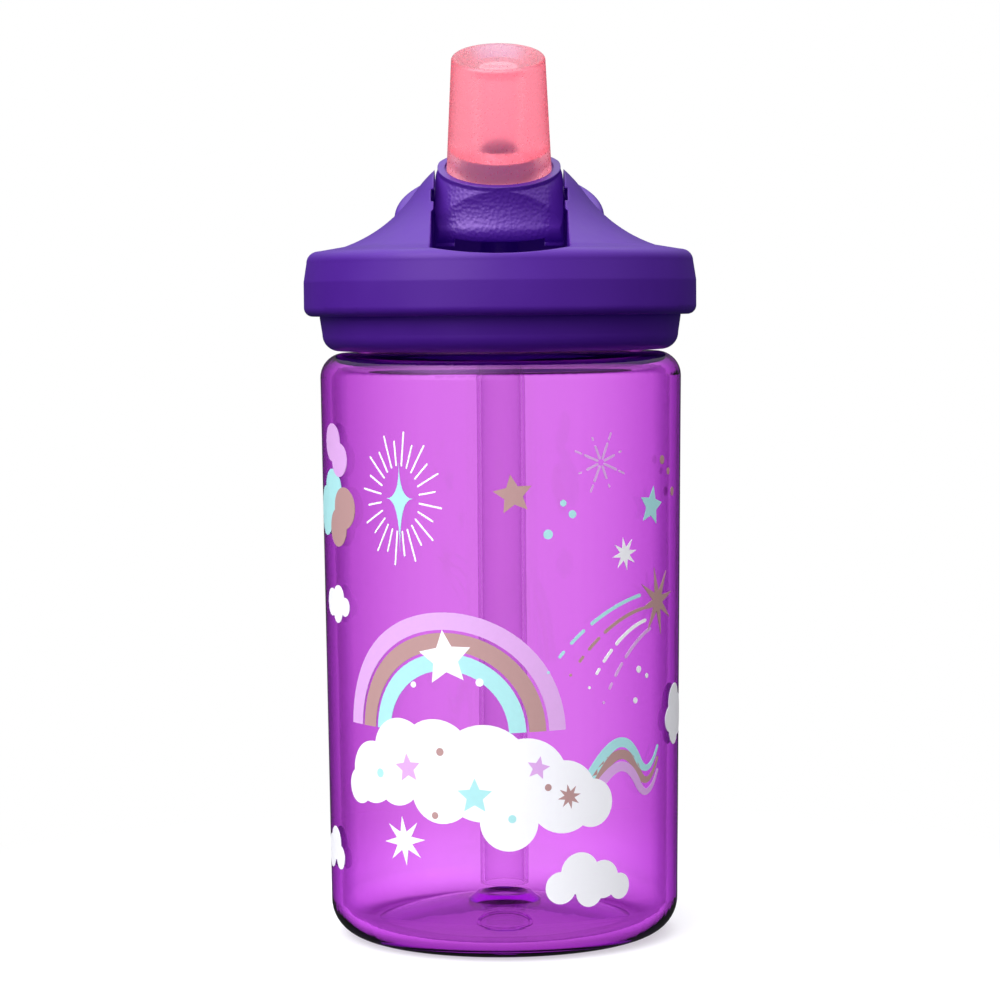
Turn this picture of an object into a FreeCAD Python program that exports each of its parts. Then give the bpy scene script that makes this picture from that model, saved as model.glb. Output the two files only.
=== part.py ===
"""Kids flip-spout water bottle, as a parametric FreeCAD document.

Millimetres, +Z up, origin at the centre of the base on the surface the bottle stands on.
The drinking side is -Y, and X runs left to right along the spout's pivot.
"""
import FreeCAD, Part
import math
import os

import Sketcher
from FreeCAD import Vector

# Driving sizes: name, millimetres or degrees, what it is.
SIZES = [
    ("foot_inner", 26.1, "inner radius of the flat resting ring"),
    ("base_corner", 7.0, "rounding from the foot up to the wall"),
    ("base_radius", 35.6, "wall radius just above the base corner"),
    ("top_radius", 36.8, "wall radius just below the shoulder"),
    ("shoulder_corner", 5.0, "rounding from the wall to the shoulder"),
    ("shoulder_top", 119.1, "height of the flat shoulder"),
    ("wall", 2.2, "bottle wall thickness"),
    ("base_wall", 2.6, "bottle floor thickness"),
    ("punt_rise", 4.4, "height of the dome under the base"),
    ("gate_radius", 5.1, "radius of the crater on the floor's centre boss"),
    ("gate_rise", 1.1, "height of that boss"),
    ("mark_radius", 5.2, "radius of the plain moulded ring on the floor"),
    ("mark_front", 18.0, "distance of that ring in front of the axis"),
    ("mark_lean", 13.2, "slope of the floor under that ring"),
    ("neck_radius", 29.4, "outside radius of the neck"),
    ("neck_inner", 27.0, "inside radius of the neck"),
    ("rim_top", 133.6, "height of the drinking rim under the gasket"),
    ("thread_pitch", 4.5, "rise of the thread in one turn"),
    ("thread_depth", 1.2, "how far the thread stands off its wall"),
    ("thread_start", 123.6, "height of the lower end of the neck thread"),
    ("thread_turns", 1.25, "turns on the neck"),
    ("cap_turns", 0.9, "turns in the inner cap"),
    ("skirt_bottom", 119.45, "underside of the inner cap"),
    ("skirt_radius", 36.3, "radius of the skirt above its rounded bottom edge"),
    ("skirt_corner", 3.4, "rounding of the skirt's bottom edge"),
    ("cap_bore", 30.9, "inside radius of the inner cap's threaded wall"),
    ("plate_under", 135.3, "underside of the inner cap's plate"),
    ("plate_top", 137.2, "top of the inner cap's plate"),
    ("ring_radius", 40.0, "widest radius of the lid ring"),
    ("ring_bottom", 126.5, "underside of the lid ring"),
    ("ring_shoulder", 139.7, "height where the ring's top begins"),
    ("hill_foot", 31.7, "radius where the hill rises from the ring's top"),
    ("hill_foot_top", 140.6, "height of that line"),
    ("hill_knee", 17.26, "radius where the hill turns from hollow to round"),
    ("hill_knee_top", 151.48, "height of that line"),
    ("crest_radius", 12.4, "radius of the hill at its crest"),
    ("crest_top", 156.5, "height of the hill's crest"),
    ("pivot_height", 150.6, "height of the spout's pivot"),
    ("slot_half", 13.6, "half-width of the slot between the cheeks"),
    ("pad_half", 13.15, "half-width between the pads that guide the spout"),
    ("back_wall", 11.2, "distance of the hill's upright back face behind the axis"),
    ("back_curve", 8.8, "radius between that face and the deck"),
    ("slot_back", 9.5, "reach of the slot behind the axis"),
    ("slot_front", 30.0, "reach of the slot in front of the axis"),
    ("pad_bottom", 147.2, "height where the guide pads begin"),
    ("spout_tilt", 22.0, "forward lean of the mouthpiece when it is up"),
    ("stem_half", 12.9, "half-width of the stem"),
    ("stem_front", 14.0, "reach of the stem in front of the pivot at its rim"),
    ("stem_bow", 24.0, "radius of the stem's front seen from above"),
    ("lip_bottom", 9.4, "depth of the lip's lower edge below the pivot"),
    ("skid_bottom", 10.2, "depth of the stem's two sides below the pivot"),
    ("relief_half", 9.0, "half-width of the hollow behind the lip"),
    ("stem_back", 8.0, "reach of the stem behind the pivot, and barrel radius"),
    ("collar_radius", 12.5, "radius of the stem's rim about the mouthpiece's axis"),
    ("seat_depth", 0.5, "depth of the seat that takes the mouthpiece's foot"),
    ("rim_along", 6.5, "distance from the pivot to the stem's rim along the mouthpiece"),
    ("trunnion_radius", 2.0, "radius of the trunnions"),
    ("trunnion_half", 15.1, "half-length across the trunnions"),
    ("post_radius", 8.2, "radius of the post under the mouthpiece"),
    ("post_along", 9.6, "distance from the pivot to the post's top"),
    ("channel_radius", 3.4, "radius of the drinking channel"),
    ("valve_base", 10.65, "radius of the mouthpiece at its base"),
    ("valve_tip", 9.45, "radius of the mouthpiece at its tip"),
    ("valve_length", 23.2, "length of the mouthpiece beyond the stem's rim"),
    ("valve_bore", 3.9, "bore of the mouthpiece above the post"),
    ("port_back", 5.2, "distance of the straw behind the pivot"),
    ("tower_radius", 3.9, "radius of the port tower"),
    ("well_radius", 16.0, "radius swept clear round the pivot under the stem"),
    ("straw_radius", 5.0, "outside radius of the straw"),
    ("straw_bore", 4.1, "inside radius of the straw"),
    ("straw_bottom", 8.9, "height of the straw's open end"),
    ("straw_top", 131.0, "height of the straw's end in the socket"),
    ("loop_radius", 22.0, "outside radius of the carry loop"),
    ("loop_hole", 15.0, "inside radius of the carry loop"),
    ("loop_thick", 5.0, "thickness of the carry loop"),
    ("loop_tilt", 26.0, "slope of the carry loop, rising to the back"),
    ("loop_back", 19.7, "distance of the loop's centre behind the axis"),
    ("loop_height", 146.5, "height of the loop's centre"),
    ("deck_top", 140.3, "height of the deck under the carry loop"),
    ("vent_back", 21.0, "distance of the air vent behind the axis"),
    ("vent_radius", 2.2, "radius of the vent valve's seat"),
    ("fit_gap", 0.04, "gap of a soft seal that touches what it seals"),
]

doc = FreeCAD.newDocument("kids_bottle")
sheet = doc.addObject("Spreadsheet::Sheet", "Dim")
for row, (alias, size, meaning) in enumerate(SIZES, start=1):
    sheet.set(f"A{row}", meaning)
    sheet.set(f"B{row}", str(size))
    sheet.setAlias(f"B{row}", alias)
doc.recompute()

NODES = []


def value(expression):
    """The present number of an expression over the sheet."""
    result = sheet.evalExpression(expression)
    return float(getattr(result, "Value", result))


def new_body(label):
    """An empty body that becomes one sub-part."""
    body = doc.addObject("PartDesign::Body", label)
    body.Label = label
    NODES.append(body)
    return body


def new_sketch(body, label, role, offset=(), lean=None):
    """A sketch on one of the body's origin planes; offset pairs are (attachment property, expression).

    lean is the angle by which a sketch on the XY plane turns about X, so that its normal leans towards -Y.
    """
    sketch = body.newObject("Sketcher::SketchObject", label)
    plane = next(item for item in body.Origin.OriginFeatures if item.Role == role)
    sketch.AttachmentSupport = [(plane, "")]
    sketch.MapMode = "FlatFace"
    for prop, expression in offset:
        sketch.setExpression(prop, expression)
    if lean is not None:
        turned = FreeCAD.Rotation(Vector(1, 0, 0), value(lean))
        sketch.AttachmentOffset = FreeCAD.Placement(Vector(0, 0, 0), turned)
        sketch.setExpression("AttachmentOffset.Rotation.Angle", lean)
    return sketch


def outline(sketch, corners):
    """Draws a closed outline. A corner is (across, up), or (across, up, radius, turn) where an arc leaves it.

    All are expressions over the sheet, except turn: +1 for an arc that turns left, -1 for one that turns right.
    """
    points = [Vector(value(corner[0]), value(corner[1]), 0) for corner in corners]
    ends = []
    for index, corner in enumerate(corners):
        start = points[index]
        stop = points[(index + 1) % len(points)]
        if len(corner) == 2:
            ends.append((sketch.addGeometry(Part.LineSegment(start, stop)), 1, 2))
            continue
        radius = value(corner[2])
        turn = corner[3]
        half = (stop - start) * 0.5
        rise = math.sqrt(max(radius ** 2 - half.Length ** 2, 0.0))
        centre = start + half + Vector(-half.y, half.x, 0).normalize() * (rise * turn)
        first, last = (start, stop) if turn > 0 else (stop, start)
        angle_a = math.atan2(first.y - centre.y, first.x - centre.x)
        angle_b = math.atan2(last.y - centre.y, last.x - centre.x)
        if angle_b <= angle_a:
            angle_b += 2 * math.pi
        circle = Part.Circle(centre, Vector(0, 0, 1), radius)
        edge = sketch.addGeometry(Part.ArcOfCircle(circle, angle_a, angle_b))
        ends.append((edge, 1, 2) if turn > 0 else (edge, 2, 1))
        drive(sketch, "Radius", (edge,), corner[2])
    for index, corner in enumerate(corners):
        edge, first, _ = ends[index]
        before, _, last = ends[index - 1]
        sketch.addConstraint(Sketcher.Constraint("Coincident", before, last, edge, first))
        drive(sketch, "DistanceX", (-1, 1, edge, first), corner[0])
        drive(sketch, "DistanceY", (-1, 1, edge, first), corner[1])


def drive(sketch, kind, targets, expression):
    """Adds a sketch constraint whose size follows an expression over the sheet."""
    number = sketch.addConstraint(Sketcher.Constraint(kind, *targets, value(expression)))
    sketch.setExpression(f"Constraints[{number}]", expression)


def circle(sketch, across, up, radius):
    """Draws a circle whose centre and radius follow expressions."""
    centre = Vector(value(across), value(up), 0)
    edge = sketch.addGeometry(Part.Circle(centre, Vector(0, 0, 1), value(radius)))
    drive(sketch, "DistanceX", (-1, 1, edge, 3), across)
    drive(sketch, "DistanceY", (-1, 1, edge, 3), up)
    drive(sketch, "Radius", (edge,), radius)


def feature(body, kind, label, sketch, **settings):
    """Adds a PartDesign feature and checks that it changed the volume in the right direction."""
    before = body.Shape.Volume if body.Shape.Solids else 0.0
    item = body.newObject("PartDesign::" + kind, label)
    item.Profile = sketch
    for prop, setting in settings.items():
        if isinstance(setting, str) and setting.startswith("="):
            item.setExpression(prop, setting[1:])
        else:
            setattr(item, prop, setting)
    doc.recompute()
    change = item.Shape.Volume - before
    removes = kind in ("Pocket", "Groove")
    if (removes and change > -1e-3) or (not removes and change < 1e-3):
        raise RuntimeError(f"{body.Label}: {label} changed the volume by {change:.3f}")
    return item


def turn_solid(body, label, corners):
    """A solid of revolution about Z from an outline in the XZ plane."""
    sketch = new_sketch(body, label + "_profile", "XZ_Plane")
    outline(sketch, corners)
    return feature(body, "Revolution", label, sketch, ReferenceAxis=(sketch, ["V_Axis"]), Angle=360)


def add_thread(body, label, role, root, crest, start, turns):
    """A trapezoid thread swept up the wall from the given plane, from radius root to radius crest."""
    sketch = new_sketch(body, label + "_profile", role)
    outline(sketch, [
        (root, start),
        (crest, f"{start} + 0.75"),
        (crest, f"{start} + 1.75"),
        (root, f"{start} + 2.5"),
    ])
    item = body.newObject("PartDesign::AdditiveHelix", label)
    item.Profile = sketch
    item.ReferenceAxis = (sketch, ["V_Axis"])
    item.Mode = "pitch-turns-angle"
    item.setExpression("Pitch", "Dim.thread_pitch")
    item.setExpression("Turns", turns)
    doc.recompute()
    return item


def build_bottle_body():
    """Blow-moulded bottle: foot ring, domed base, tapered wall, round shoulder and threaded neck."""
    body = new_body("bottle_body")
    dome = "(Dim.foot_inner ^ 2 + Dim.punt_rise ^ 2) / (2 * Dim.punt_rise)"
    floor = "Dim.punt_rise + Dim.base_wall"
    inner_base = "Dim.base_radius - Dim.wall"
    inner_top = "Dim.top_radius - Dim.wall"
    inner_corner = "Dim.base_corner - Dim.wall"
    inner_shoulder = "Dim.shoulder_corner - Dim.wall"
    turn_solid(body, "shell", [
        ("0", "Dim.punt_rise", dome, -1),
        ("Dim.foot_inner", "0"),
        ("Dim.base_radius - Dim.base_corner", "0", "Dim.base_corner", 1),
        ("Dim.base_radius", "Dim.base_corner"),
        ("Dim.top_radius", "Dim.shoulder_top - Dim.shoulder_corner", "Dim.shoulder_corner", 1),
        ("Dim.top_radius - Dim.shoulder_corner", "Dim.shoulder_top"),
        ("Dim.neck_radius", "Dim.shoulder_top"),
        ("Dim.neck_radius", "Dim.rim_top - 0.6", "0.6", 1),
        ("Dim.neck_radius - 0.6", "Dim.rim_top"),
        ("Dim.neck_inner + 0.6", "Dim.rim_top", "0.6", 1),
        ("Dim.neck_inner", "Dim.rim_top - 0.6"),
        ("Dim.neck_inner", "Dim.shoulder_top - Dim.wall"),
        (f"{inner_top} - ({inner_shoulder})", "Dim.shoulder_top - Dim.wall", inner_shoulder, -1),
        (inner_top, "Dim.shoulder_top - Dim.shoulder_corner"),
        (inner_base, "Dim.base_corner + 0.4", inner_corner, -1),
        (f"{inner_base} - ({inner_corner})", f"Dim.base_corner + 0.4 - ({inner_corner})"),
        ("Dim.foot_inner", f"Dim.base_corner + 0.4 - ({inner_corner})", f"{dome} - 4", 1),
        ("Dim.gate_radius + 2.5", f"{floor} - 0.45"),
        ("Dim.gate_radius + 0.5", f"{floor} + Dim.gate_rise - 0.1"),
        ("Dim.gate_radius - 0.5", f"{floor} + Dim.gate_rise"),
        ("Dim.gate_radius - 1.3", f"{floor} + 0.5"),
        ("0", f"{floor} + 0.4"),
    ])
    mark = new_sketch(body, "floor_mark_profile", "XY_Plane",
                      [("AttachmentOffset.Base.z", f"{floor} + 1.6")], lean="Dim.mark_lean")
    across = "-Dim.mark_front / cos(Dim.mark_lean * 1 deg)"
    circle(mark, "0", across, "Dim.mark_radius + 0.3")
    circle(mark, "0", across, "Dim.mark_radius - 0.3")
    feature(body, "Pad", "floor_mark", mark, Length=0.95)
    add_thread(body, "neck_thread", "XZ_Plane", "Dim.neck_radius - 0.3", "Dim.neck_radius + Dim.thread_depth",
               "Dim.thread_start", "Dim.thread_turns")


def build_inner_cap():
    """Threaded collar with a double wall, a plate across the neck, a well under the stem and a straw socket."""
    body = new_body("inner_cap")
    turn_solid(body, "collar", [
        ("0", "Dim.plate_under"),
        ("Dim.cap_bore", "Dim.plate_under"),
        ("Dim.cap_bore", "Dim.skirt_bottom"),
        ("Dim.skirt_radius - Dim.skirt_corner", "Dim.skirt_bottom", "Dim.skirt_corner", 1),
        ("Dim.skirt_radius", "Dim.skirt_bottom + Dim.skirt_corner"),
        ("Dim.skirt_radius + 0.5", "Dim.ring_bottom - 0.3"),
        ("Dim.skirt_radius + 0.5", "Dim.ring_bottom + 3"),
        ("Dim.skirt_radius", "Dim.ring_bottom + 3.5"),
        ("Dim.skirt_radius", "Dim.plate_top"),
        ("Dim.skirt_radius - 1.7", "Dim.plate_top"),
        ("Dim.skirt_radius - 1.7", "Dim.skirt_bottom + 3.2"),
        ("Dim.cap_bore + 1.8", "Dim.skirt_bottom + 3.2"),
        ("Dim.cap_bore + 1.8", "Dim.plate_top"),
        ("0", "Dim.plate_top"),
    ])
    well = new_sketch(body, "well_profile", "YZ_Plane")
    circle(well, "0", "Dim.pivot_height", "Dim.well_radius + 1.9")
    feature(body, "Pad", "well", well, Length="=2 * Dim.slot_half + 3.6", SideType="Symmetric")
    trim = new_sketch(body, "well_trim_profile", "YZ_Plane")
    outline(trim, [("-30", "Dim.plate_top"), ("30", "Dim.plate_top"), ("30", "190"), ("-30", "190")])
    feature(body, "Pocket", "well_trim", trim, Length=60, SideType="Symmetric")
    hollow = new_sketch(body, "well_hollow_profile", "YZ_Plane")
    circle(hollow, "0", "Dim.pivot_height", "Dim.well_radius")
    feature(body, "Pocket", "well_hollow", hollow, Length="=2 * Dim.slot_half", SideType="Symmetric")
    tower = new_sketch(body, "tower_profile", "XY_Plane", [("AttachmentOffset.Base.z", "Dim.plate_under - 2")])
    circle(tower, "0", "Dim.port_back", "Dim.tower_radius")
    feature(body, "Pad", "tower", tower, Length="=Dim.pivot_height - Dim.plate_under")
    saddle = new_sketch(body, "saddle_profile", "YZ_Plane")
    circle(saddle, "0", "Dim.pivot_height", "Dim.stem_back + 0.3")
    feature(body, "Pocket", "saddle", saddle, Length=40, SideType="Symmetric")
    socket = new_sketch(body, "socket_profile", "XY_Plane", [("AttachmentOffset.Base.z", "Dim.straw_top - 9")])
    circle(socket, "0", "Dim.port_back", "Dim.straw_radius + 1.6")
    feature(body, "Pad", "socket", socket, Length="=Dim.plate_under - Dim.straw_top + 7.1")
    bore = new_sketch(body, "straw_bore_profile", "XY_Plane", [("AttachmentOffset.Base.z", "Dim.straw_top - 10")])
    circle(bore, "0", "Dim.port_back", "Dim.straw_radius + 0.03")
    feature(body, "Pocket", "straw_bore", bore, Length=10, Reversed=True)
    port = new_sketch(body, "port_profile", "XY_Plane", [("AttachmentOffset.Base.z", "Dim.straw_top - 1")])
    circle(port, "0", "Dim.port_back", "1.9")
    feature(body, "Pocket", "port", port, Length=20, Reversed=True)
    seat = new_sketch(body, "seal_seat_profile", "XY_Plane", [("AttachmentOffset.Base.z", "Dim.plate_top + 0.6")])
    circle(seat, "0", "Dim.port_back", "Dim.tower_radius - 0.9")
    feature(body, "Pocket", "seal_seat", seat, Length=20, Reversed=True)
    vent = new_sketch(body, "vent_profile", "XY_Plane", [("AttachmentOffset.Base.z", "Dim.plate_under - 1")])
    circle(vent, "0", "Dim.vent_back", "Dim.vent_radius")
    feature(body, "Pocket", "vent", vent, Length=5, Reversed=True)
    add_thread(body, "cap_thread", "YZ_Plane", "Dim.cap_bore + 0.3", "Dim.neck_radius + 0.35",
               "Dim.thread_start + Dim.thread_pitch / 4 - 1.75", "Dim.cap_turns")


def build_lid_shell():
    """Outer lid: ring, hill with the slot and guide pads, deck at the back, and the sloping carry loop."""
    body = new_body("lid_shell")
    turn_solid(body, "bell", [
        ("0", "Dim.plate_top"),
        ("Dim.ring_radius - 2.2", "Dim.plate_top"),
        ("Dim.ring_radius - 2.2", "Dim.ring_bottom + 3.4"),
        ("Dim.skirt_radius + 0.52", "Dim.ring_bottom + 2.6"),
        ("Dim.skirt_radius + 0.52", "Dim.ring_bottom"),
        ("Dim.ring_radius - 1.8", "Dim.ring_bottom", "1.8", 1),
        ("Dim.ring_radius", "Dim.ring_bottom + 1.8"),
        ("Dim.ring_radius", "Dim.ring_bottom + 7"),
        ("Dim.ring_radius - 0.6", "Dim.ring_shoulder - 2.4", "2.4", 1),
        ("Dim.ring_radius - 3.0", "Dim.ring_shoulder"),
        ("Dim.hill_foot", "Dim.hill_foot_top", "29.3", -1),
        ("Dim.hill_knee", "Dim.hill_knee_top", "26.1", 1),
        ("Dim.crest_radius + 0.95", "Dim.crest_top - 0.6", "1.4", 1),
        ("Dim.crest_radius", "Dim.crest_top"),
        ("0", "Dim.crest_top"),
    ])
    back = new_sketch(body, "back_cut_profile", "YZ_Plane")
    outline(back, [
        ("Dim.back_wall", "Dim.crest_top + 6"),
        ("Dim.back_wall", "Dim.deck_top + Dim.back_curve", "Dim.back_curve", 1),
        ("Dim.back_wall + Dim.back_curve", "Dim.deck_top"),
        ("50", "Dim.deck_top"),
        ("50", "Dim.crest_top + 6"),
    ])
    feature(body, "Pocket", "back_cut", back, Length=100, SideType="Symmetric")
    loop = new_sketch(body, "loop_profile", "YZ_Plane", [
        ("AttachmentOffset.Base.x", "Dim.loop_back"),
        ("AttachmentOffset.Base.y", "Dim.loop_height"),
        ("AttachmentOffset.Rotation.Angle", "Dim.loop_tilt"),
    ])
    half = "Dim.loop_thick / 2"
    outline(loop, [
        ("Dim.loop_hole + 1.6", f"-{half}"),
        ("Dim.loop_radius - 1.8", f"-{half}", "1.8", 1),
        ("Dim.loop_radius", f"-{half} + 1.8"),
        ("Dim.loop_radius", f"{half} - 1.8", "1.8", 1),
        ("Dim.loop_radius - 1.8", half),
        ("Dim.loop_hole + 1.6", half, "1.6", 1),
        ("Dim.loop_hole", f"{half} - 1.6"),
        ("Dim.loop_hole", f"-{half} + 1.6", "1.6", 1),
    ])
    feature(body, "Revolution", "carry_loop", loop, ReferenceAxis=(loop, ["V_Axis"]), Angle=360)
    under = new_sketch(body, "underside_profile", "XZ_Plane")
    outline(under, [
        ("0", "Dim.ring_bottom - 1"),
        ("Dim.skirt_radius + 0.52", "Dim.ring_bottom - 1"),
        ("Dim.skirt_radius + 0.52", "Dim.ring_bottom + 3.4"),
        ("Dim.ring_radius - 2.2", "Dim.ring_bottom + 3.4"),
        ("Dim.ring_radius - 2.2", "Dim.plate_top"),
        ("0", "Dim.plate_top"),
    ])
    feature(body, "Groove", "underside", under, ReferenceAxis=(under, ["V_Axis"]), Angle=360)
    slot = new_sketch(body, "slot_profile", "XZ_Plane")
    outline(slot, [
        ("-Dim.slot_half", "Dim.plate_top - 5"),
        ("Dim.slot_half", "Dim.plate_top - 5"),
        ("Dim.slot_half", "Dim.pad_bottom"),
        ("Dim.pad_half", "Dim.pad_bottom + 0.5"),
        ("Dim.pad_half", "Dim.crest_top + 5"),
        ("-Dim.pad_half", "Dim.crest_top + 5"),
        ("-Dim.pad_half", "Dim.pad_bottom + 0.5"),
        ("-Dim.slot_half", "Dim.pad_bottom"),
    ])
    feature(body, "Pocket", "slot", slot, SideType="Two sides", Length="=Dim.slot_back", Length2="=Dim.slot_front")
    dip = new_sketch(body, "front_dip_profile", "XZ_Plane", [("AttachmentOffset.Base.z", "27")])
    outline(dip, [
        ("-Dim.slot_half", "Dim.ring_shoulder + 0.1", "75", 1),
        ("Dim.slot_half", "Dim.ring_shoulder + 0.1"),
        ("Dim.slot_half", "Dim.ring_shoulder + 4"),
        ("-Dim.slot_half", "Dim.ring_shoulder + 4"),
    ])
    feature(body, "Pocket", "front_dip", dip, Length=20, Reversed=True)
    socket = new_sketch(body, "trunnion_socket_profile", "YZ_Plane")
    circle(socket, "0", "Dim.pivot_height", "Dim.trunnion_radius + 0.06")
    feature(body, "Pocket", "trunnion_sockets", socket, Length="=2 * Dim.trunnion_half + 0.3", SideType="Symmetric")
    groove = new_sketch(body, "lead_in_profile", "YZ_Plane")
    outline(groove, [
        ("-20", "Dim.pivot_height - 1.25"),
        ("0", "Dim.pivot_height - 1.25"),
        ("0", "Dim.pivot_height + 1.25"),
        ("-20", "Dim.pivot_height + 1.25"),
    ])
    feature(body, "Pocket", "lead_in_grooves", groove, Length="=2 * Dim.slot_half + 0.2", SideType="Symmetric")
    for side, sign in (("left", "-"), ("right", "")):
        core = new_sketch(body, f"{side}_core_profile", "XY_Plane", [("AttachmentOffset.Base.z", "Dim.plate_top")])
        near = f"{sign}(Dim.slot_half + 2)"
        far = f"{sign}(Dim.slot_half + 7.5)"
        outline(core, [(near, "-7"), (far, "-7"), (far, "7"), (near, "7")])
        feature(body, "Pocket", f"{side}_core", core, Length=6, Reversed=True)
    vent = new_sketch(body, "vent_holes_profile", "XY_Plane", [("AttachmentOffset.Base.z", "Dim.plate_top")])
    for offset in ("-2.6", "2.6"):
        circle(vent, offset, "Dim.vent_back", "0.8")
    feature(body, "Pocket", "vent_holes", vent, Length=10, Reversed=True)
    recess = new_sketch(body, "vent_recess_profile", "XY_Plane", [("AttachmentOffset.Base.z", "Dim.plate_top")])
    circle(recess, "0", "Dim.vent_back", "Dim.vent_radius + 1.4")
    feature(body, "Pocket", "vent_recess", recess, Length=1.6, Reversed=True)


def build_cap_gasket():
    """Soft ring under the plate, with a lip that wipes the inside of the neck."""
    body = new_body("cap_gasket")
    turn_solid(body, "ring", [
        ("Dim.neck_inner - 1.4", "Dim.plate_under - Dim.fit_gap"),
        ("Dim.neck_inner - 1.4", "Dim.rim_top - 2.2"),
        ("Dim.neck_inner - 0.25", "Dim.rim_top - 1.6"),
        ("Dim.neck_inner - 0.25", "Dim.rim_top + Dim.fit_gap"),
        ("Dim.cap_bore - 0.3", "Dim.rim_top + Dim.fit_gap"),
        ("Dim.cap_bore - 0.3", "Dim.plate_under - Dim.fit_gap"),
    ])


def build_vent_valve():
    """Umbrella valve: a stem through the plate, a thin disc below it and a bulb above."""
    body = new_body("vent_valve")
    turn_solid(body, "umbrella", [
        ("0", "Dim.plate_under - 1.3"),
        ("Dim.vent_radius + 1.4", "Dim.plate_under - 0.9"),
        ("Dim.vent_radius + 1.4", "Dim.plate_under - 0.02"),
        ("Dim.vent_radius - 0.5", "Dim.plate_under - 0.02"),
        ("Dim.vent_radius - 0.5", "Dim.plate_top + 0.02"),
        ("Dim.vent_radius + 0.5", "Dim.plate_top + 0.02"),
        ("Dim.vent_radius - 0.3", "Dim.plate_top + 1.2"),
        ("0", "Dim.plate_top + 1.2"),
    ])
    body.setExpression("Placement.Base.y", "Dim.vent_back")


def build_straw():
    """Clear straight straw from the cap's socket to just above the floor."""
    body = new_body("straw")
    wall = new_sketch(body, "wall_profile", "XY_Plane")
    circle(wall, "0", "0", "Dim.straw_radius")
    circle(wall, "0", "0", "Dim.straw_bore")
    feature(body, "Pad", "tube", wall, Length="=Dim.straw_top - Dim.straw_bottom")
    body.setExpression("Placement.Base.y", "Dim.port_back")
    body.setExpression("Placement.Base.z", "Dim.straw_bottom")


def build_port_seal():
    """Soft plug in the port tower whose saddle top presses on the stem's barrel."""
    body = new_body("port_seal")
    wall = new_sketch(body, "plug_profile", "XY_Plane", [("AttachmentOffset.Base.z", "Dim.plate_top + 0.6")])
    circle(wall, "0", "Dim.port_back", "Dim.tower_radius - 0.9")
    circle(wall, "0", "Dim.port_back", "1.9")
    feature(body, "Pad", "plug", wall, Length=12)
    saddle = new_sketch(body, "saddle_profile", "YZ_Plane")
    circle(saddle, "0", "Dim.pivot_height", "Dim.stem_back + Dim.fit_gap")
    feature(body, "Pocket", "saddle", saddle, Length=20, SideType="Symmetric")


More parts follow.
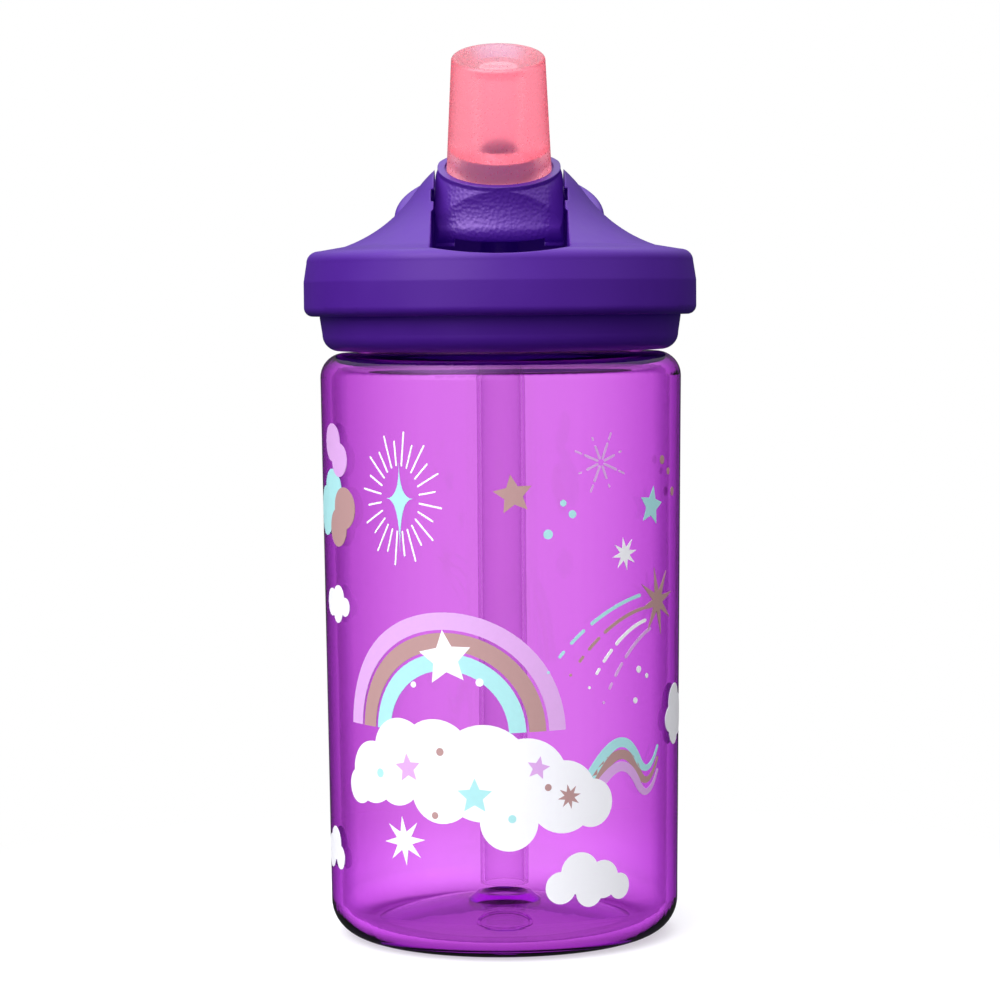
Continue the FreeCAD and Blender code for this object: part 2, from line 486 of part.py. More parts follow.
def build_spout_stem():
    """Pivoting stem: barrel, oval body with a thumb scoop and lip, trunnions, post and drinking channel.

    It is drawn about the pivot with the mouthpiece up, then lifted to the pivot's height.
    """
    body = new_body("spout_stem")
    tilt = "Dim.spout_tilt"
    rim_rise = f"Dim.rim_along / cos({tilt} * 1 deg)"
    slope = f"tan({tilt} * 1 deg)"
    side = new_sketch(body, "side_profile", "YZ_Plane")
    outline(side, [
        ("Dim.stem_back", "0"),
        ("Dim.stem_back", f"{rim_rise} + Dim.stem_back * {slope}"),
        ("-Dim.stem_front - 2", f"{rim_rise} - (Dim.stem_front + 2) * {slope}"),
        ("-Dim.stem_front - 2", "-Dim.skid_bottom"),
        ("-8.2", "-Dim.skid_bottom"),
        ("-Dim.stem_back * 0.6", "-Dim.stem_back * 0.8", "Dim.stem_back", 1),
    ])
    feature(body, "Pad", "side", side, Length="=2 * Dim.stem_half", SideType="Symmetric")
    plan = new_sketch(body, "plan_profile", "XY_Plane", [("AttachmentOffset.Base.z", "-12")])
    wide = "Dim.stem_half"
    front = "Dim.stem_front"
    outline(plan, [("-30", "-30"), ("30", "-30"), ("30", "30"), ("-30", "30")])
    outline(plan, [
        (f"{wide}", "-6.5"),
        (f"{wide}", "-3.4", "9.5", 1),
        (f"{wide} - 4.3", "4.6", "12.1", 1),
        (f"-{wide} + 4.3", "4.6", "9.5", 1),
        (f"-{wide}", "-3.4"),
        (f"-{wide}", "-6.5", "4.8", 1),
        (f"-{wide} + 3.2", f"-{front} + 2.0", "Dim.stem_bow", 1),
        (f"{wide} - 3.2", f"-{front} + 2.0", "4.8", 1),
    ])
    feature(body, "Pocket", "plan", plan, Length=40, Reversed=True)
    face = new_sketch(body, "face_profile", "YZ_Plane",
                      [("AttachmentOffset.Base.x", "Dim.stem_bow - Dim.stem_front")])
    outline(face, [
        ("-Dim.stem_bow - 6", "8"),
        ("-Dim.stem_bow", "8"),
        ("-Dim.stem_bow", "1.3", "10.7", -1),
        ("-Dim.stem_bow + 0.7", "-6.0", "2.6", 1),
        ("-Dim.stem_bow + 1.8", "-Dim.lip_bottom"),
        ("-Dim.stem_bow + 1.8", "-14"),
        ("-Dim.stem_bow - 6", "-14"),
    ])
    feature(body, "Groove", "face", face, ReferenceAxis=(face, ["V_Axis"]), Angle=360)
    collar = new_sketch(body, "collar_profile", "YZ_Plane", [("AttachmentOffset.Rotation.Angle", tilt)])
    outline(collar, [
        ("Dim.collar_radius", "Dim.rim_along + 3"),
        ("Dim.collar_radius", "Dim.rim_along - 0.9"),
        ("Dim.collar_radius + 4", "Dim.rim_along - 8"),
        ("Dim.collar_radius + 12", "Dim.rim_along - 8"),
        ("Dim.collar_radius + 12", "Dim.rim_along + 3"),
    ])
    feature(body, "Groove", "collar", collar, ReferenceAxis=(collar, ["V_Axis"]), Angle=360)
    seat = new_sketch(body, "seat_profile", "YZ_Plane", [("AttachmentOffset.Rotation.Angle", tilt)])
    outline(seat, [
        ("0", "Dim.rim_along - Dim.seat_depth"),
        ("Dim.valve_base + 0.35", "Dim.rim_along - Dim.seat_depth"),
        ("Dim.valve_base + 0.35", "Dim.rim_along + 3"),
        ("0", "Dim.rim_along + 3"),
    ])
    feature(body, "Groove", "seat", seat, ReferenceAxis=(seat, ["V_Axis"]), Angle=360)
    relief = new_sketch(body, "relief_profile", "YZ_Plane")
    outline(relief, [
        ("-20", "-Dim.lip_bottom"),
        ("-12.0", "-Dim.lip_bottom"),
        ("-Dim.stem_back * 0.79", "-Dim.stem_back * 0.6131", "Dim.stem_back", 1),
        ("-Dim.stem_back * 0.6", "-Dim.stem_back * 0.8"),
        ("-3", "-14"),
        ("-20", "-14"),
    ])
    feature(body, "Pocket", "relief", relief, Length="=2 * Dim.relief_half", SideType="Symmetric")
    pins = new_sketch(body, "trunnion_profile", "YZ_Plane")
    circle(pins, "0", "0", "Dim.trunnion_radius")
    feature(body, "Pad", "trunnions", pins, Length="=2 * Dim.trunnion_half", SideType="Symmetric")
    post = new_sketch(body, "post_profile", "XY_Plane", lean=tilt)
    circle(post, "0", "0", "Dim.post_radius")
    feature(body, "Pad", "post", post, Length="=Dim.post_along")
    channel = new_sketch(body, "channel_profile", "XY_Plane", lean=tilt)
    circle(channel, "0", "0", "Dim.channel_radius")
    feature(body, "Pocket", "channel", channel, Length=30, Reversed=True)
    inlet = new_sketch(body, "inlet_profile", "XY_Plane", lean="asin(Dim.port_back / Dim.stem_back)")
    circle(inlet, "0", "0", "2")
    feature(body, "Pocket", "inlet", inlet, Length=12)
    body.setExpression("Placement.Base.z", "Dim.pivot_height")


def build_bite_valve():
    """Soft mouthpiece: a thick-walled cone over the post, with a recessed, slit top."""
    body = new_body("bite_valve")
    top = "(Dim.rim_along + Dim.valve_length)"
    foot = "(Dim.rim_along - Dim.seat_depth + 0.02)"
    turn_solid(body, "cone", [
        ("Dim.post_radius + 0.02", foot),
        ("Dim.valve_base", foot),
        ("Dim.valve_tip", f"{top} - 0.8", "0.8", 1),
        ("Dim.valve_tip - 0.8", top),
        ("Dim.valve_tip - 1.5", f"{top} - 0.2"),
        ("Dim.valve_tip - 4.6", f"{top} - 1.6"),
        ("0", f"{top} - 1.9"),
        ("0", f"{top} - 3.4"),
        ("Dim.valve_bore", f"{top} - 3.4"),
        ("Dim.valve_bore", "Dim.post_along + 1.5"),
        ("Dim.post_radius + 0.02", "Dim.post_along + 0.3"),
    ])
    slit = new_sketch(body, "slit_profile", "XY_Plane")
    outline(slit, [("-3", "-0.15"), ("3", "-0.15"), ("3", "0.15"), ("-3", "0.15")])
    feature(body, "Pocket", "slit", slit, Length=60, Reversed=True)
    lean = FreeCAD.Rotation(Vector(1, 0, 0), value("Dim.spout_tilt"))
    body.Placement = FreeCAD.Placement(Vector(0, 0, value("Dim.pivot_height")), lean)
    body.setExpression("Placement.Base.z", "Dim.pivot_height")
    body.setExpression("Placement.Rotation.Angle", "Dim.spout_tilt")


build_bottle_body()
build_cap_gasket()
build_inner_cap()
build_lid_shell()
build_vent_valve()
build_straw()
build_port_seal()
build_spout_stem()
build_bite_valve()
doc.recompute()

os.makedirs("parts", exist_ok=True)
for item in doc.Objects:
    if "Invalid" in item.State or "Error" in item.State:
        raise RuntimeError(f"{item.Label} failed: {item.State}")
for node in NODES:
    shape = node.Shape
    if shape.isNull() or not shape.isValid():
        raise RuntimeError(f"{node.Label} has no valid shape")
    shape.exportStep(f"parts/{node.Label}.step")
    box = shape.BoundBox
    print(f"{node.Label}: {len(shape.Solids)} solid, {shape.Volume:.0f} mm3, "
          f"x {box.XMin:.1f}..{box.XMax:.1f} y {box.YMin:.1f}..{box.YMax:.1f} z {box.ZMin:.1f}..{box.ZMax:.1f}")
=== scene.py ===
"""Looks of the kids flip-spout water bottle: plastics, soft parts, printed motifs, light and camera."""

import bmesh
import bpy
import math
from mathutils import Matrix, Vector


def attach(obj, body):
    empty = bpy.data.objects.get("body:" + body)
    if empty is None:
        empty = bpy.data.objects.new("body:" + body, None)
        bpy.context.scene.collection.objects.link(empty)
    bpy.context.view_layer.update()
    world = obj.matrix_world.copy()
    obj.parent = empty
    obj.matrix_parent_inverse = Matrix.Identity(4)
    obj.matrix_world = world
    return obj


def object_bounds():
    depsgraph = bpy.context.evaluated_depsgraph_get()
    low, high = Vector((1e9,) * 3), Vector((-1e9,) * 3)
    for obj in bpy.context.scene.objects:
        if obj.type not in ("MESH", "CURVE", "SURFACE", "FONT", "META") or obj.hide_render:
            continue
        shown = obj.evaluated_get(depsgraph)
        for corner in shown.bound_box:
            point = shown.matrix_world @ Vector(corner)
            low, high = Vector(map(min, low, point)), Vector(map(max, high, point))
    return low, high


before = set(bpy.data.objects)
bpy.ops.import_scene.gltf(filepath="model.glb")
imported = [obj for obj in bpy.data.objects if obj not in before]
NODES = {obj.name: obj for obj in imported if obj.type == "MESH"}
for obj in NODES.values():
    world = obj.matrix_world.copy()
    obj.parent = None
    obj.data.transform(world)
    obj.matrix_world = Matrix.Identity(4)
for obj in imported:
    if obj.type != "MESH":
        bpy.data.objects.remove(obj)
CAD_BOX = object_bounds()
MM = 0.001


# ---------------------------------------------------------------- materials

def new_material(name):
    """An empty node material and its output node."""
    made = bpy.data.materials.new(name)
    made.use_nodes = True
    made.node_tree.nodes.clear()
    return made, add(made.node_tree, "OutputMaterial")


def add(tree, kind, inputs=None, **settings):
    """A shader node with its settings; an input is a number, a colour or another node's socket."""
    made = tree.nodes.new("ShaderNode" + kind)
    for key, setting in settings.items():
        setattr(made, key, setting)
    for key, source in (inputs or {}).items():
        if isinstance(source, bpy.types.NodeSocket):
            tree.links.new(source, made.inputs[key])
        else:
            made.inputs[key].default_value = source
    return made


def ramp(tree, source, low, high, start=0.0, stop=1.0):
    """Maps a factor from start..stop to the range low..high, smoothly."""
    mapped = add(tree, "MapRange", {"Value": source, "From Min": start, "From Max": stop,
                                    "To Min": low, "To Max": high}, interpolation_type="SMOOTHSTEP")
    return mapped.outputs["Result"]


def object_point(tree):
    """The point on the piece in the row frame, in metres."""
    return add(tree, "TexCoord").outputs["Object"]


def noise(tree, point, size, detail=3.0, roughness=0.5):
    """Noise whose grains are about size metres across."""
    made = add(tree, "TexNoise", {
        "Vector": point,
        "Scale": 1 / size,
        "Detail": detail,
        "Roughness": roughness,
    })
    return made.outputs["Fac"]


def bump(tree, height, distance, before=None):
    """A bump normal of the given height in metres, over an earlier normal if there is one."""
    inputs = {"Height": height, "Distance": distance, "Strength": 1.0}
    if before is not None:
        inputs["Normal"] = before
    return add(tree, "Bump", inputs).outputs["Normal"]


def tinted(tree, color, source, spread):
    """The colour made a little lighter and darker by a factor."""
    dark = [channel * (1 - spread) for channel in color[:3]] + [1.0]
    light = [min(channel * (1 + spread), 1.0) for channel in color[:3]] + [1.0]
    mixed = add(tree, "Mix", {"Factor": source}, data_type="RGBA")
    mixed.inputs["A"].default_value = dark
    mixed.inputs["B"].default_value = light
    return mixed.outputs["Result"]


def moulded_plastic(name, color, rim=0.0, grain=False, gloss=0.4):
    """Satin moulded polypropylene: fine spark-eroded texture, faint flow variation and uneven gloss.

    A faint painted glow, purple-blue light that no lamp gives, stands in for the light that the pigment
    scatters inside the wall.

    rim softens sharp edges by that radius in metres; grain adds the pebbled texture of the spout's front.
    """
    made, out = new_material(name)
    tree = made.node_tree
    point = object_point(tree)
    fine = noise(tree, point, 0.22 * MM, 2.0)
    flow = noise(tree, point, 14 * MM, 3.0)
    normal = None
    if rim:
        normal = add(tree, "Bevel", {"Radius": rim}, samples=6).outputs["Normal"]
    if grain:
        normal = pebbled(tree, point, normal)
    shader = add(tree, "BsdfPrincipled", {
        "Base Color": tinted(tree, color, flow, 0.07),
        "Roughness": ramp(tree, flow, 0.36, 0.46, 0.3, 0.7),
        "IOR": 1.49,
        "Specular IOR Level": gloss,
        "Specular Tint": (0.78, 0.52, 1.0, 1),
        "Normal": bump(tree, fine, 0.009 * MM, normal),
        # Painted glow: a faint purple-blue light that no lamp gives, added to the plastic's colour.
        "Emission Color": (0.12, 0.0, 1.0, 1),
        "Emission Strength": 0.032,
    })
    tree.links.new(shader.outputs["BSDF"], out.inputs["Surface"])
    return made


def pebbled(tree, point, before):
    """Pebbled grain on the front of the spout only, fading out towards its sides and rim."""
    axes = add(tree, "SeparateXYZ", {"Vector": point}).outputs
    side = add(tree, "Math", {0: axes["X"]}, operation="ABSOLUTE").outputs[0]
    cells = add(tree, "TexVoronoi", {"Vector": point, "Scale": 1 / (0.7 * MM), "Smoothness": 0.5},
                feature="SMOOTH_F1").outputs["Distance"]
    middle = ramp(tree, side, 1.0, 0.0, 9.5 * MM, 11.5 * MM)
    front = ramp(tree, axes["Y"], 1.0, 0.0, -9.5 * MM, -8.0 * MM)
    mask = add(tree, "Math", {0: middle, 1: front}, operation="MULTIPLY").outputs[0]
    height = add(tree, "Math", {0: cells, 1: mask}, operation="MULTIPLY").outputs[0]
    return bump(tree, height, 0.11 * MM, before)


def painted_edge_shade(tree, edge_shade_stops):
    """Painted edge shade: a colour that goes from the first stop, seen face on, to the last, seen along
    the surface.
    """
    edge = add(tree, "LayerWeight", {"Blend": 0.5}).outputs["Facing"]
    made = add(tree, "ValToRGB", {"Fac": edge})
    elements = made.color_ramp.elements
    elements[0].position, elements[0].color = edge_shade_stops[0]
    elements[1].position, elements[1].color = edge_shade_stops[-1]
    for position, color in edge_shade_stops[1:-1]:
        elements.new(position).color = color
    return made.outputs["Color"]


def clear_plastic(name, edge_shade_stops, density, absorbed, roughness, ior):
    """Clear tinted plastic: absorbs more along a longer path, and has painted shade that darkens it where
    it is seen edge on.
    """
    made, out = new_material(name)
    tree = made.node_tree
    waves = noise(tree, object_point(tree), 11 * MM, 2.0)
    shader = add(tree, "BsdfPrincipled", {
        # Painted shade: the base colour darkens where the surface is seen edge on.
        "Base Color": painted_edge_shade(tree, edge_shade_stops),
        "Roughness": roughness,
        "IOR": ior,
        "Transmission Weight": 1.0,
        "Specular Tint": (0.8, 0.35, 0.9, 1),
        "Normal": bump(tree, waves, 0.02 * MM),
    })
    tree.links.new(shader.outputs["BSDF"], out.inputs["Surface"])
    inside = add(tree, "VolumeAbsorption", {"Color": absorbed, "Density": density})
    tree.links.new(inside.outputs["Volume"], out.inputs["Volume"])
    return made


def soft_silicone(name, color, density, absorbed, painted_glow_color):
    """Frosted translucent silicone, deeper in colour where it is thicker, with a slightly dusty surface.

    The last argument is the colour of a faint painted glow, light that no lamp gives, standing in for the
    light it passes on from inside.
    """
    made, out = new_material(name)
    tree = made.node_tree
    point = object_point(tree)
    dust = noise(tree, point, 0.5 * MM, 3.0)
    cloud = noise(tree, point, 6 * MM, 2.0)
    shader = add(tree, "BsdfPrincipled", {
        "Base Color": tinted(tree, color, cloud, 0.04),
        "Roughness": ramp(tree, dust, 0.26, 0.38, 0.3, 0.7),
        "IOR": 1.41,
        "Transmission Weight": 0.93,
        "Normal": bump(tree, dust, 0.003 * MM),
        # Painted glow: emission that stands in for light passed on from inside.
        "Emission Color": painted_glow_color,
        "Emission Strength": 0.1,
    })
    tree.links.new(shader.outputs["BSDF"], out.inputs["Surface"])
    inside = add(tree, "VolumeAbsorption", {"Color": absorbed, "Density": density})
    tree.links.new(inside.outputs["Volume"], out.inputs["Volume"])
    return made


def dress(node, material):
    """Gives every face of a CAD node the material."""
    slots = NODES[node].data.materials
    for index in range(len(slots)):
        slots[index] = material


PURPLE = (0.058, 0.010, 0.205, 1)
# Painted shade on the bottle's wall: near white face on, dark purple where it is seen edge on.
BODY_EDGE_SHADE = [
    (0.10, (0.95, 0.935, 0.955, 1)),
    (0.56, (0.70, 0.58, 0.74, 1)),
    (0.70, (0.30, 0.13, 0.37, 1)),
    (0.82, (0.17, 0.02, 0.22, 1)),
]
# Painted shade on the straw: lighter face on, greyer purple where it is seen edge on.
STRAW_EDGE_SHADE = [
    (0.0, (0.93, 0.86, 0.94, 1)),
    (0.45, (0.86, 0.76, 0.88, 1)),
    (0.75, (0.62, 0.45, 0.66, 1)),
]
body_plastic = clear_plastic("tinted_copolyester_look", BODY_EDGE_SHADE, 360.0, (0.873, 0.006, 0.975, 1),
                             0.02, 1.54)
lid_plastic = moulded_plastic("purple_lid_look", PURPLE, rim=0.6 * MM)
cap_plastic = moulded_plastic("purple_cap_look", PURPLE)
stem_plastic = moulded_plastic("purple_stem_look", PURPLE, rim=0.4 * MM, grain=True, gloss=1.0)
valve_silicone = soft_silicone("pink_valve_look", (1.0, 0.74, 0.79, 1), 56.0, (1.0, 0.03, 0.25, 1),
                               (1.0, 0.2, 0.28, 1))
seal_silicone = soft_silicone("clear_seal_look", (0.85, 0.85, 0.88, 1), 20.0, (0.8, 0.8, 0.85, 1),
                              (0.1, 0.1, 0.11, 1))
straw_plastic = clear_plastic("clear_straw_look", STRAW_EDGE_SHADE, 20.0, (0.8, 0.7, 0.85, 1),
                              0.12, 1.12)

dress("bottle_body", body_plastic)
dress("lid_shell", lid_plastic)
dress("inner_cap", cap_plastic)
dress("spout_stem", stem_plastic)
dress("bite_valve", valve_silicone)
dress("straw", straw_plastic)
for seal in ("cap_gasket", "port_seal", "vent_valve"):
    dress(seal, seal_silicone)


# ---------------------------------------------------------------- printed motifs

# All in millimetres.
WALL_FOOT = (35.6, 7.0)     # radius and height where the bottle's wall begins
WALL_HEAD = (36.8, 114.1)   # radius and height where it ends
WRAP_RADIUS = 36.3          # radius that turns a distance round the wall into an angle
STRIP = 1.5                 # width of the strips that let a plate follow the curve
INK_UNDER = -0.08           # how far a plate starts inside the wall
INK_TOP = 0.05              # how far the lowest layer stands off the wall
INK_LAYER = 0.02            # rise from one layer to the next
INK_SORT = 0.0004           # rise from one plate to the next, so that overlaps never coincide

# Discs of the main cloud: across, up and radius.
MAIN_CLOUD = [
    (-29.0, 36.5, 6.2), (-22.0, 41.4, 6.4), (-22.5, 35.8, 5.4), (-14.0, 40.0, 8.0), (-12.5, 34.0, 6.6),
    (-4.0, 37.5, 9.6), (4.5, 36.0, 8.4), (1.0, 28.0, 5.8), (12.0, 32.6, 7.2), (18.2, 31.0, 4.8),
    (-33.2, 33.4, 3.6),
]
SMALL_CLOUDS = [
    [(-41.0, 70.2, 2.6), (-38.0, 68.6, 1.9), (-44.6, 69.2, 2.8), (-41.4, 67.4, 2.2)],
    [(46.6, 48.0, 4.0), (43.4, 45.0, 2.6), (50.0, 45.4, 4.2), (46.4, 43.0, 3.4)],
    [(-46.0, 20.0, 3.4), (-43.0, 17.4, 2.4), (-49.4, 18.0, 3.4)],
]


def wall_point(across, up, stand):
    """A point on the bottle's wall, across millimetres round from the front and up from the base."""
    share = (up - WALL_FOOT[1]) / (WALL_HEAD[1] - WALL_FOOT[1])
    radius = WALL_FOOT[0] + share * (WALL_HEAD[0] - WALL_FOOT[0]) + stand
    angle = across / WRAP_RADIUS
    return Vector((radius * math.sin(angle), -radius * math.cos(angle), up)) * MM


def disc(across, up, radius):
    """Outline of a round dot."""
    count = 40 if radius > 2 else 18
    turns = [2 * math.pi * step / count for step in range(count)]
    return [(across + radius * math.cos(turn), up + radius * math.sin(turn)) for turn in turns]


def star(across, up, points, outer, inner, lean=0.0):
    """Outline of a star; lean turns it by that many degrees."""
    made = []
    for step in range(2 * points):
        reach = inner if step % 2 else outer
        turn = math.radians(90 + lean) + math.pi * step / points
        made.append((across + reach * math.cos(turn), up + reach * math.sin(turn)))
    return made


def spark(across, up, above, below, side):
    """Outline of a four-pointed sparkle with hollow sides."""
    tips = [(side, 0), (0, above), (-side, 0), (0, -below)]
    made = []
    for index, tip in enumerate(tips):
        after = tips[(index + 1) % 4]
        for step in range(8):
            share = step / 8
            bow = (1 - share) ** 2, share ** 2
            made.append((across + tip[0] * bow[0] + after[0] * bow[1],
                         up + tip[1] * bow[0] + after[1] * bow[1]))
    return made


def stroke(path, width, taper=1.0):
    """Outline of a round-ended line along a path; taper is its last width over its first."""
    left, right = [], []
    last = len(path) - 1
    for index, (across, up) in enumerate(path):
        before, after = path[max(index - 1, 0)], path[min(index + 1, last)]
        along = Vector((after[0] - before[0], after[1] - before[1])).normalized()
        half = width / 2 * (1 + (taper - 1) * index / last)
        left.append((across - along.y * half, up + along.x * half))
        right.append((across + along.y * half, up - along.x * half))
    caps = []
    for point, inner, sign in ((path[-1], path[-2], taper), (path[0], path[1], 1.0)):
        along = Vector((point[0] - inner[0], point[1] - inner[1])).normalized()
        half = width / 2 * sign
        caps.append([(point[0] + half * (along.x * math.sin(turn) + along.y * math.cos(turn)),
                      point[1] + half * (along.y * math.sin(turn) - along.x * math.cos(turn)))
                     for turn in (math.pi / 4, math.pi / 2, 3 * math.pi / 4)])
    return right + caps[0] + left[::-1] + caps[1]


def curve(start, pull, stop, count=24):
    """Points along a smooth curve from start to stop, pulled towards a third point."""
    made = []
    for step in range(count + 1):
        share = step / count
        weights = (1 - share) ** 2, 2 * share * (1 - share), share ** 2
        made.append((weights[0] * start[0] + weights[1] * pull[0] + weights[2] * stop[0],
                     weights[0] * start[1] + weights[1] * pull[1] + weights[2] * stop[1]))
    return made


def rays(across, up, count, near, far, width, stretch=1.0):
    """Outlines of dashes pointing away from a centre; stretch lengthens the upright ones."""
    made = []
    for step in range(count):
        turn = 2 * math.pi * (step + 0.5) / count
        aside, above = math.cos(turn), math.sin(turn) * stretch
        reach = far * (0.86 + 0.14 * (step % 2))
        made.append(stroke([(across + near * aside, up + near * above),
                            (across + reach * aside, up + reach * above)], width))
    return made


def arch(across, up, inner, outer, start, stop):
    """Outline of one band of a rainbow between two angles in degrees."""
    turns = [math.radians(start + (stop - start) * step / 36) for step in range(37)]
    rim = [(across + outer * math.cos(turn), up + outer * math.sin(turn)) for turn in turns]
    hollow = [(across + inner * math.cos(turn), up + inner * math.sin(turn)) for turn in reversed(turns)]
    return rim + hollow


def cloud(lobes):
    """Outlines of the discs that overlap into one cloud."""
    return [disc(*lobe_size) for lobe_size in lobes]


def print_piece(name, ink, outlines):
    """Lays thin ink plates on the wall from (outline, layer) pairs; higher layers lie on lower ones."""
    mesh = bmesh.new()
    for number, (outline, layer) in enumerate(outlines):
        part = bmesh.new()
        part.faces.new([part.verts.new((across, up, 0)) for across, up in outline])
        part.normal_update()
        bmesh.ops.triangulate(part, faces=part.faces[:])
        low = min(across for across, _ in outline)
        high = max(across for across, _ in outline)
        for step in range(math.ceil(low / STRIP), math.floor(high / STRIP) + 1):
            bmesh.ops.bisect_plane(part, geom=part.verts[:] + part.edges[:] + part.faces[:],
                                   plane_co=(step * STRIP, 0, 0), plane_no=(1, 0, 0))
        raised = bmesh.ops.extrude_face_region(part, geom=part.faces[:])["geom"]
        for vert in raised:
            if isinstance(vert, bmesh.types.BMVert):
                vert.co.z = 1
        top = INK_TOP + INK_LAYER * layer + INK_SORT * number
        for vert in part.verts:
            vert.co = wall_point(vert.co.x, vert.co.y, top if vert.co.z > 0.5 else INK_UNDER)
        bmesh.ops.recalc_face_normals(part, faces=part.faces[:])
        loose = bpy.data.meshes.new("plate")
        part.to_mesh(loose)
        part.free()
        mesh.from_mesh(loose)
        bpy.data.meshes.remove(loose)
    data = bpy.data.meshes.new(name)
    mesh.to_mesh(data)
    mesh.free()
    made = bpy.data.objects.new(name, data)
    bpy.context.scene.collection.objects.link(made)
    data.materials.append(ink)
    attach(made, "bottle")


def ink_look(name, color):
    """Screen-printed ink: nearly flat colour, slightly uneven in tone and gloss, with a faint painted
    glow in its own colour.
    """
    made, out = new_material(name)
    tree = made.node_tree
    point = object_point(tree)
    mottle = noise(tree, point, 0.9 * MM, 3.0)
    shader = add(tree, "BsdfPrincipled", {
        "Base Color": tinted(tree, color, mottle, 0.04),
        "Roughness": ramp(tree, mottle, 0.42, 0.55, 0.3, 0.7),
        "Normal": bump(tree, mottle, 0.01 * MM),
    })
    # Painted glow: the ink gives off a little light of its own colour, though it is no lamp.
    glow = add(tree, "Emission", {"Color": color, "Strength": 0.12})
    both = add(tree, "AddShader", {0: shader.outputs["BSDF"], 1: glow.outputs[0]})
    tree.links.new(both.outputs[0], out.inputs["Surface"])
    return made


def ink(kept, layer, *outlines):
    """Adds outlines to the list of one ink."""
    kept.extend((outline, layer) for outline in outlines)


def draw_sky(white, mint, rose, lilac):
    """The sparkle with its rays, the stars, the burst and the dots of the upper half."""
    ink(mint, 0, spark(-21.0, 91.0, 7.0, 10.5, 3.1))
    ink(white, 0, *rays(-21.0, 91.0, 24, 4.6, 9.2, 0.36, 1.42))
    ink(rose, 0, star(2.2, 91.9, 5, 4.0, 1.9, 8))
    ink(lilac, 0, *rays(20.3, 97.8, 8, 0.9, 3.9, 0.5), *rays(20.3, 97.8, 8, 4.8, 6.1, 0.4))
    ink(mint, 0, disc(12.1, 90.1, 0.65), disc(14.0, 87.9, 0.8), disc(9.0, 84.1, 0.95))
    ink(mint, 0, star(34.5, 88.6, 5, 4.0, 1.9, -10))
    ink(white, 0, star(26.3, 79.6, 8, 3.3, 1.3, 10), star(-21.1, 23.5, 8, 4.9, 1.9, 6))


def draw_shooting_star(white, mint, rose, lilac):
    """A star with four curved tails that break up into dashes, and three dots beside them."""
    ink(rose, 2, star(36.9, 69.5, 8, 6.9, 2.0, 12))
    for kept, start, pull, stop in (
        (mint, (30.6, 71.1), (17.0, 69.0), (8.2, 56.1)),
        (rose, (31.4, 68.4), (20.5, 67.0), (12.9, 55.5)),
        (white, (32.4, 66.0), (23.5, 64.5), (17.1, 52.8)),
        (lilac, (34.0, 64.2), (26.0, 61.5), (20.5, 49.6)),
    ):
        path = curve(start, pull, stop)
        ink(kept, 1, stroke(path[:13], 0.7), stroke(path[14:18], 0.65), stroke(path[19:21], 0.6))
        ink(kept, 1, disc(*path[-2], 0.3))
    ink(white, 0, disc(30.4, 56.4, 0.7), disc(33.0, 54.9, 0.5), disc(29.4, 50.3, 0.6))


def draw_rainbow(white, mint, rose, lilac):
    """The main cloud with its small stars and dots, and the rainbow that rises from it."""
    ink(white, 1, *cloud(MAIN_CLOUD))
    centre = (-11.5, 45.0)
    for kept, inner, outer in ((lilac, 20.6, 24.0), (rose, 16.6, 20.0), (mint, 12.6, 16.0)):
        ink(kept, 0, arch(*centre, inner, outer, 2, 178))
    ink(white, 0, star(-11.5, 60.0, 5, 5.6, 2.7, 6), disc(-4.6, 55.4, 0.8), disc(-18.4, 54.6, 0.6))
    ink(lilac, 2, star(-20.0, 38.0, 5, 3.0, 1.4, 6), star(6.8, 38.5, 5, 2.4, 1.1, -12))
    ink(mint, 2, star(-5.8, 33.0, 5, 3.6, 1.7, 0), disc(-27.0, 36.5, 0.9), disc(1.6, 28.6, 0.8))
    ink(rose, 2, star(13.2, 32.6, 8, 2.5, 1.1, 10), disc(8.8, 34.6, 0.7))
    ink(rose, 2, disc(-12.8, 41.6, 0.8), disc(-14.0, 29.0, 0.7))


def draw_ribbons(mint, rose, lilac):
    """Three waving ribbons behind the cloud."""
    for kept, lift in ((mint, 2.4), (rose, 0.0), (lilac, -2.4)):
        near = curve((18.0, 34.0 + lift), (25.0, 44.5 + lift), (30.0, 36.5 + lift))
        far = curve((30.0, 36.5 + lift), (33.2, 31.0 + lift), (37.2, 38.0 + lift))
        ink(kept, 0, stroke(near, 2.2, 0.8))
        ink(kept, 0, stroke(far, 1.8, 0.35))


def draw_sides(white, mint, rose, lilac):
    """Clouds and dots that run round to the sides of the bottle."""
    ink(white, 0, *cloud([(11.4, 14.6, 3.2), (15.6, 17.2, 4.2), (20.8, 15.6, 3.8)]))
    ink(white, 0, *cloud([(25.0, 13.8, 2.6), (17.6, 13.4, 3.0)]))
    ink(mint, 0, *cloud([(-43.0, 91.5, 4.6), (-47.5, 87.5, 5.0)]))
    ink(lilac, 1, *cloud([(-39.4, 98.0, 3.4), (-42.6, 101.4, 3.8)]))
    ink(rose, 1, *cloud([(-37.6, 88.4, 4.2), (-40.4, 84.4, 3.8)]))
    ink(rose, 0, disc(38.6, 97.6, 0.9), disc(41.6, 95.2, 0.7), disc(44.0, 91.0, 0.9))
    for lobes in SMALL_CLOUDS:
        ink(white, 0, *cloud(lobes))


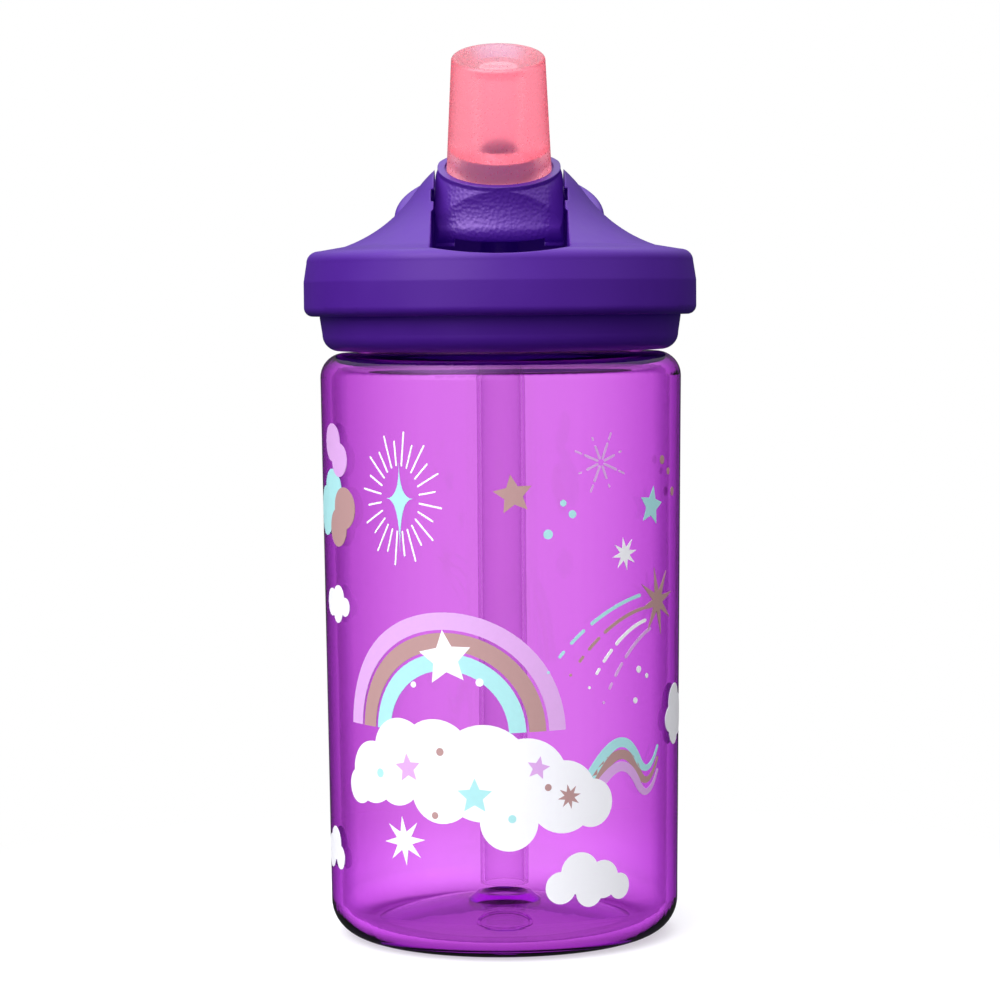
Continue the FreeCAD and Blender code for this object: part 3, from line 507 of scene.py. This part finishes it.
def build_print():
    """Night-sky pattern: sparkles, stars, dots, a shooting star, clouds and a rainbow."""
    white, mint, rose, lilac = [], [], [], []
    draw_sky(white, mint, rose, lilac)
    draw_shooting_star(white, mint, rose, lilac)
    draw_rainbow(white, mint, rose, lilac)
    draw_ribbons(mint, rose, lilac)
    draw_sides(white, mint, rose, lilac)
    inks = (
        ("print_white", (0.90, 0.89, 0.92, 1), white),
        ("print_mint", (0.40, 0.74, 0.75, 1), mint),
        ("print_rose", (0.46, 0.27, 0.26, 1), rose),
        ("print_lilac", (0.69, 0.38, 0.75, 1), lilac),
    )
    for name, color, outlines in inks:
        print_piece(name, ink_look(name + "_ink", color), outlines)


build_print()


# ---------------------------------------------------------------- light, floor and camera

def lobe(tree, direction, spread, strength):
    """Light from one side of the room: full in the direction and fading away from it."""
    toward = Vector(direction).normalized()
    seen_along = add(tree, "TexCoord").outputs["Generated"]
    dot = add(tree, "VectorMath", {0: seen_along, 1: toward}, operation="DOT_PRODUCT")
    front = add(tree, "Math", {0: dot.outputs["Value"], 1: 0.0}, operation="MAXIMUM")
    soft = add(tree, "Math", {0: front.outputs[0], 1: spread}, operation="POWER")
    return add(tree, "Math", {0: soft.outputs[0], 1: strength}, operation="MULTIPLY").outputs[0]


def build_world():
    """A studio with soft light from above, left and right, and an even pale backdrop."""
    world = bpy.data.worlds.new("studio")
    bpy.context.scene.world = world
    world.use_nodes = True
    tree = world.node_tree
    tree.nodes.clear()
    rays = add(tree, "LightPath")
    total = ramp(tree, rays.outputs["Is Glossy Ray"], 0.13, 0.04)
    for direction, spread, strength in (
        ((0, 0.1, 1), 3.0, 2.8),
        ((-0.6, -0.6, 0.85), 8.0, 5.4),
        ((-0.45, -0.8, 0.42), 9.0, 1.5),
        ((0.85, -0.55, 0.6), 7.0, 0.8),
        ((0, -1, 0.1), 3.0, 0.24),
    ):
        more = lobe(tree, direction, spread, strength)
        total = add(tree, "Math", {0: total, 1: more}, operation="ADD").outputs[0]
    seen = add(tree, "Math", {0: rays.outputs["Is Camera Ray"], 1: rays.outputs["Is Transmission Ray"]},
               operation="MAXIMUM")
    room = add(tree, "Background", {"Color": (0.95, 0.96, 1.0, 1), "Strength": total})
    backdrop = add(tree, "Background", {"Color": (1, 1, 1, 1), "Strength": 1.0})
    both = add(tree, "MixShader", {0: seen.outputs[0], 1: room.outputs[0], 2: backdrop.outputs[0]})
    out = add(tree, "OutputWorld")
    tree.links.new(both.outputs[0], out.inputs["Surface"])


def build_floor():
    """A pale round floor that fades into the backdrop."""
    mesh = bmesh.new()
    bmesh.ops.create_circle(mesh, cap_ends=True, segments=96, radius=3.0)
    data = bpy.data.meshes.new("floor")
    mesh.to_mesh(data)
    mesh.free()
    floor = bpy.data.objects.new("floor", data)
    bpy.context.scene.collection.objects.link(floor)
    floor.location.z = CAD_BOX[0].z
    made, out = new_material("floor_look")
    tree = made.node_tree
    reach = add(tree, "VectorMath", {0: object_point(tree)}, operation="LENGTH").outputs["Value"]
    weave = noise(tree, object_point(tree), 0.8 * MM, 3.0)
    paper = add(tree, "BsdfPrincipled", {
        "Base Color": tinted(tree, (0.42, 0.42, 0.425, 1), weave, 0.01),
        "Roughness": 0.8,
        "Normal": bump(tree, weave, 0.01 * MM),
    })
    lift = add(tree, "Emission", {"Color": (1, 1, 1, 1), "Strength": 0.52})
    lit = add(tree, "AddShader", {0: paper.outputs["BSDF"], 1: lift.outputs[0]})
    glow = add(tree, "Emission", {"Color": (1, 1, 1, 1), "Strength": 1.0})
    fade = ramp(tree, reach, 0.0, 1.0, 0.04, 0.16)
    shown = add(tree, "MixShader", {0: fade, 1: lit.outputs[0], 2: glow.outputs[0]})
    rays_here = add(tree, "LightPath").outputs
    seen = add(tree, "Math", {0: rays_here["Is Camera Ray"], 1: rays_here["Is Transmission Ray"]},
               operation="MAXIMUM")
    room = add(tree, "Emission", {"Color": (0.95, 0.96, 1.0, 1), "Strength": 0.04})
    both = add(tree, "MixShader", {0: seen.outputs[0], 1: room.outputs[0], 2: shown.outputs[0]})
    tree.links.new(both.outputs[0], out.inputs["Surface"])
    data.materials.append(made)


def build_camera():
    """Level with the lid, in front of the bottle, aimed at the middle of it."""
    data = bpy.data.cameras.new("camera")
    data.sensor_width = 36.0
    data.lens = 114.4
    made = bpy.data.objects.new("camera", data)
    bpy.context.scene.collection.objects.link(made)
    made.location = (-0.33 * MM, -650 * MM, 128.6 * MM)
    aim = Vector((-0.33 * MM, 0, 88.7 * MM))
    turn = (aim - made.location).to_track_quat("-Z", "Y").to_euler()
    turn.rotate_axis("Z", math.radians(-0.45))
    made.rotation_euler = turn
    bpy.context.scene.camera = made


build_world()
build_floor()
build_camera()
scene = bpy.context.scene
scene.view_settings.view_transform = "Standard"
scene.view_settings.look = "None"
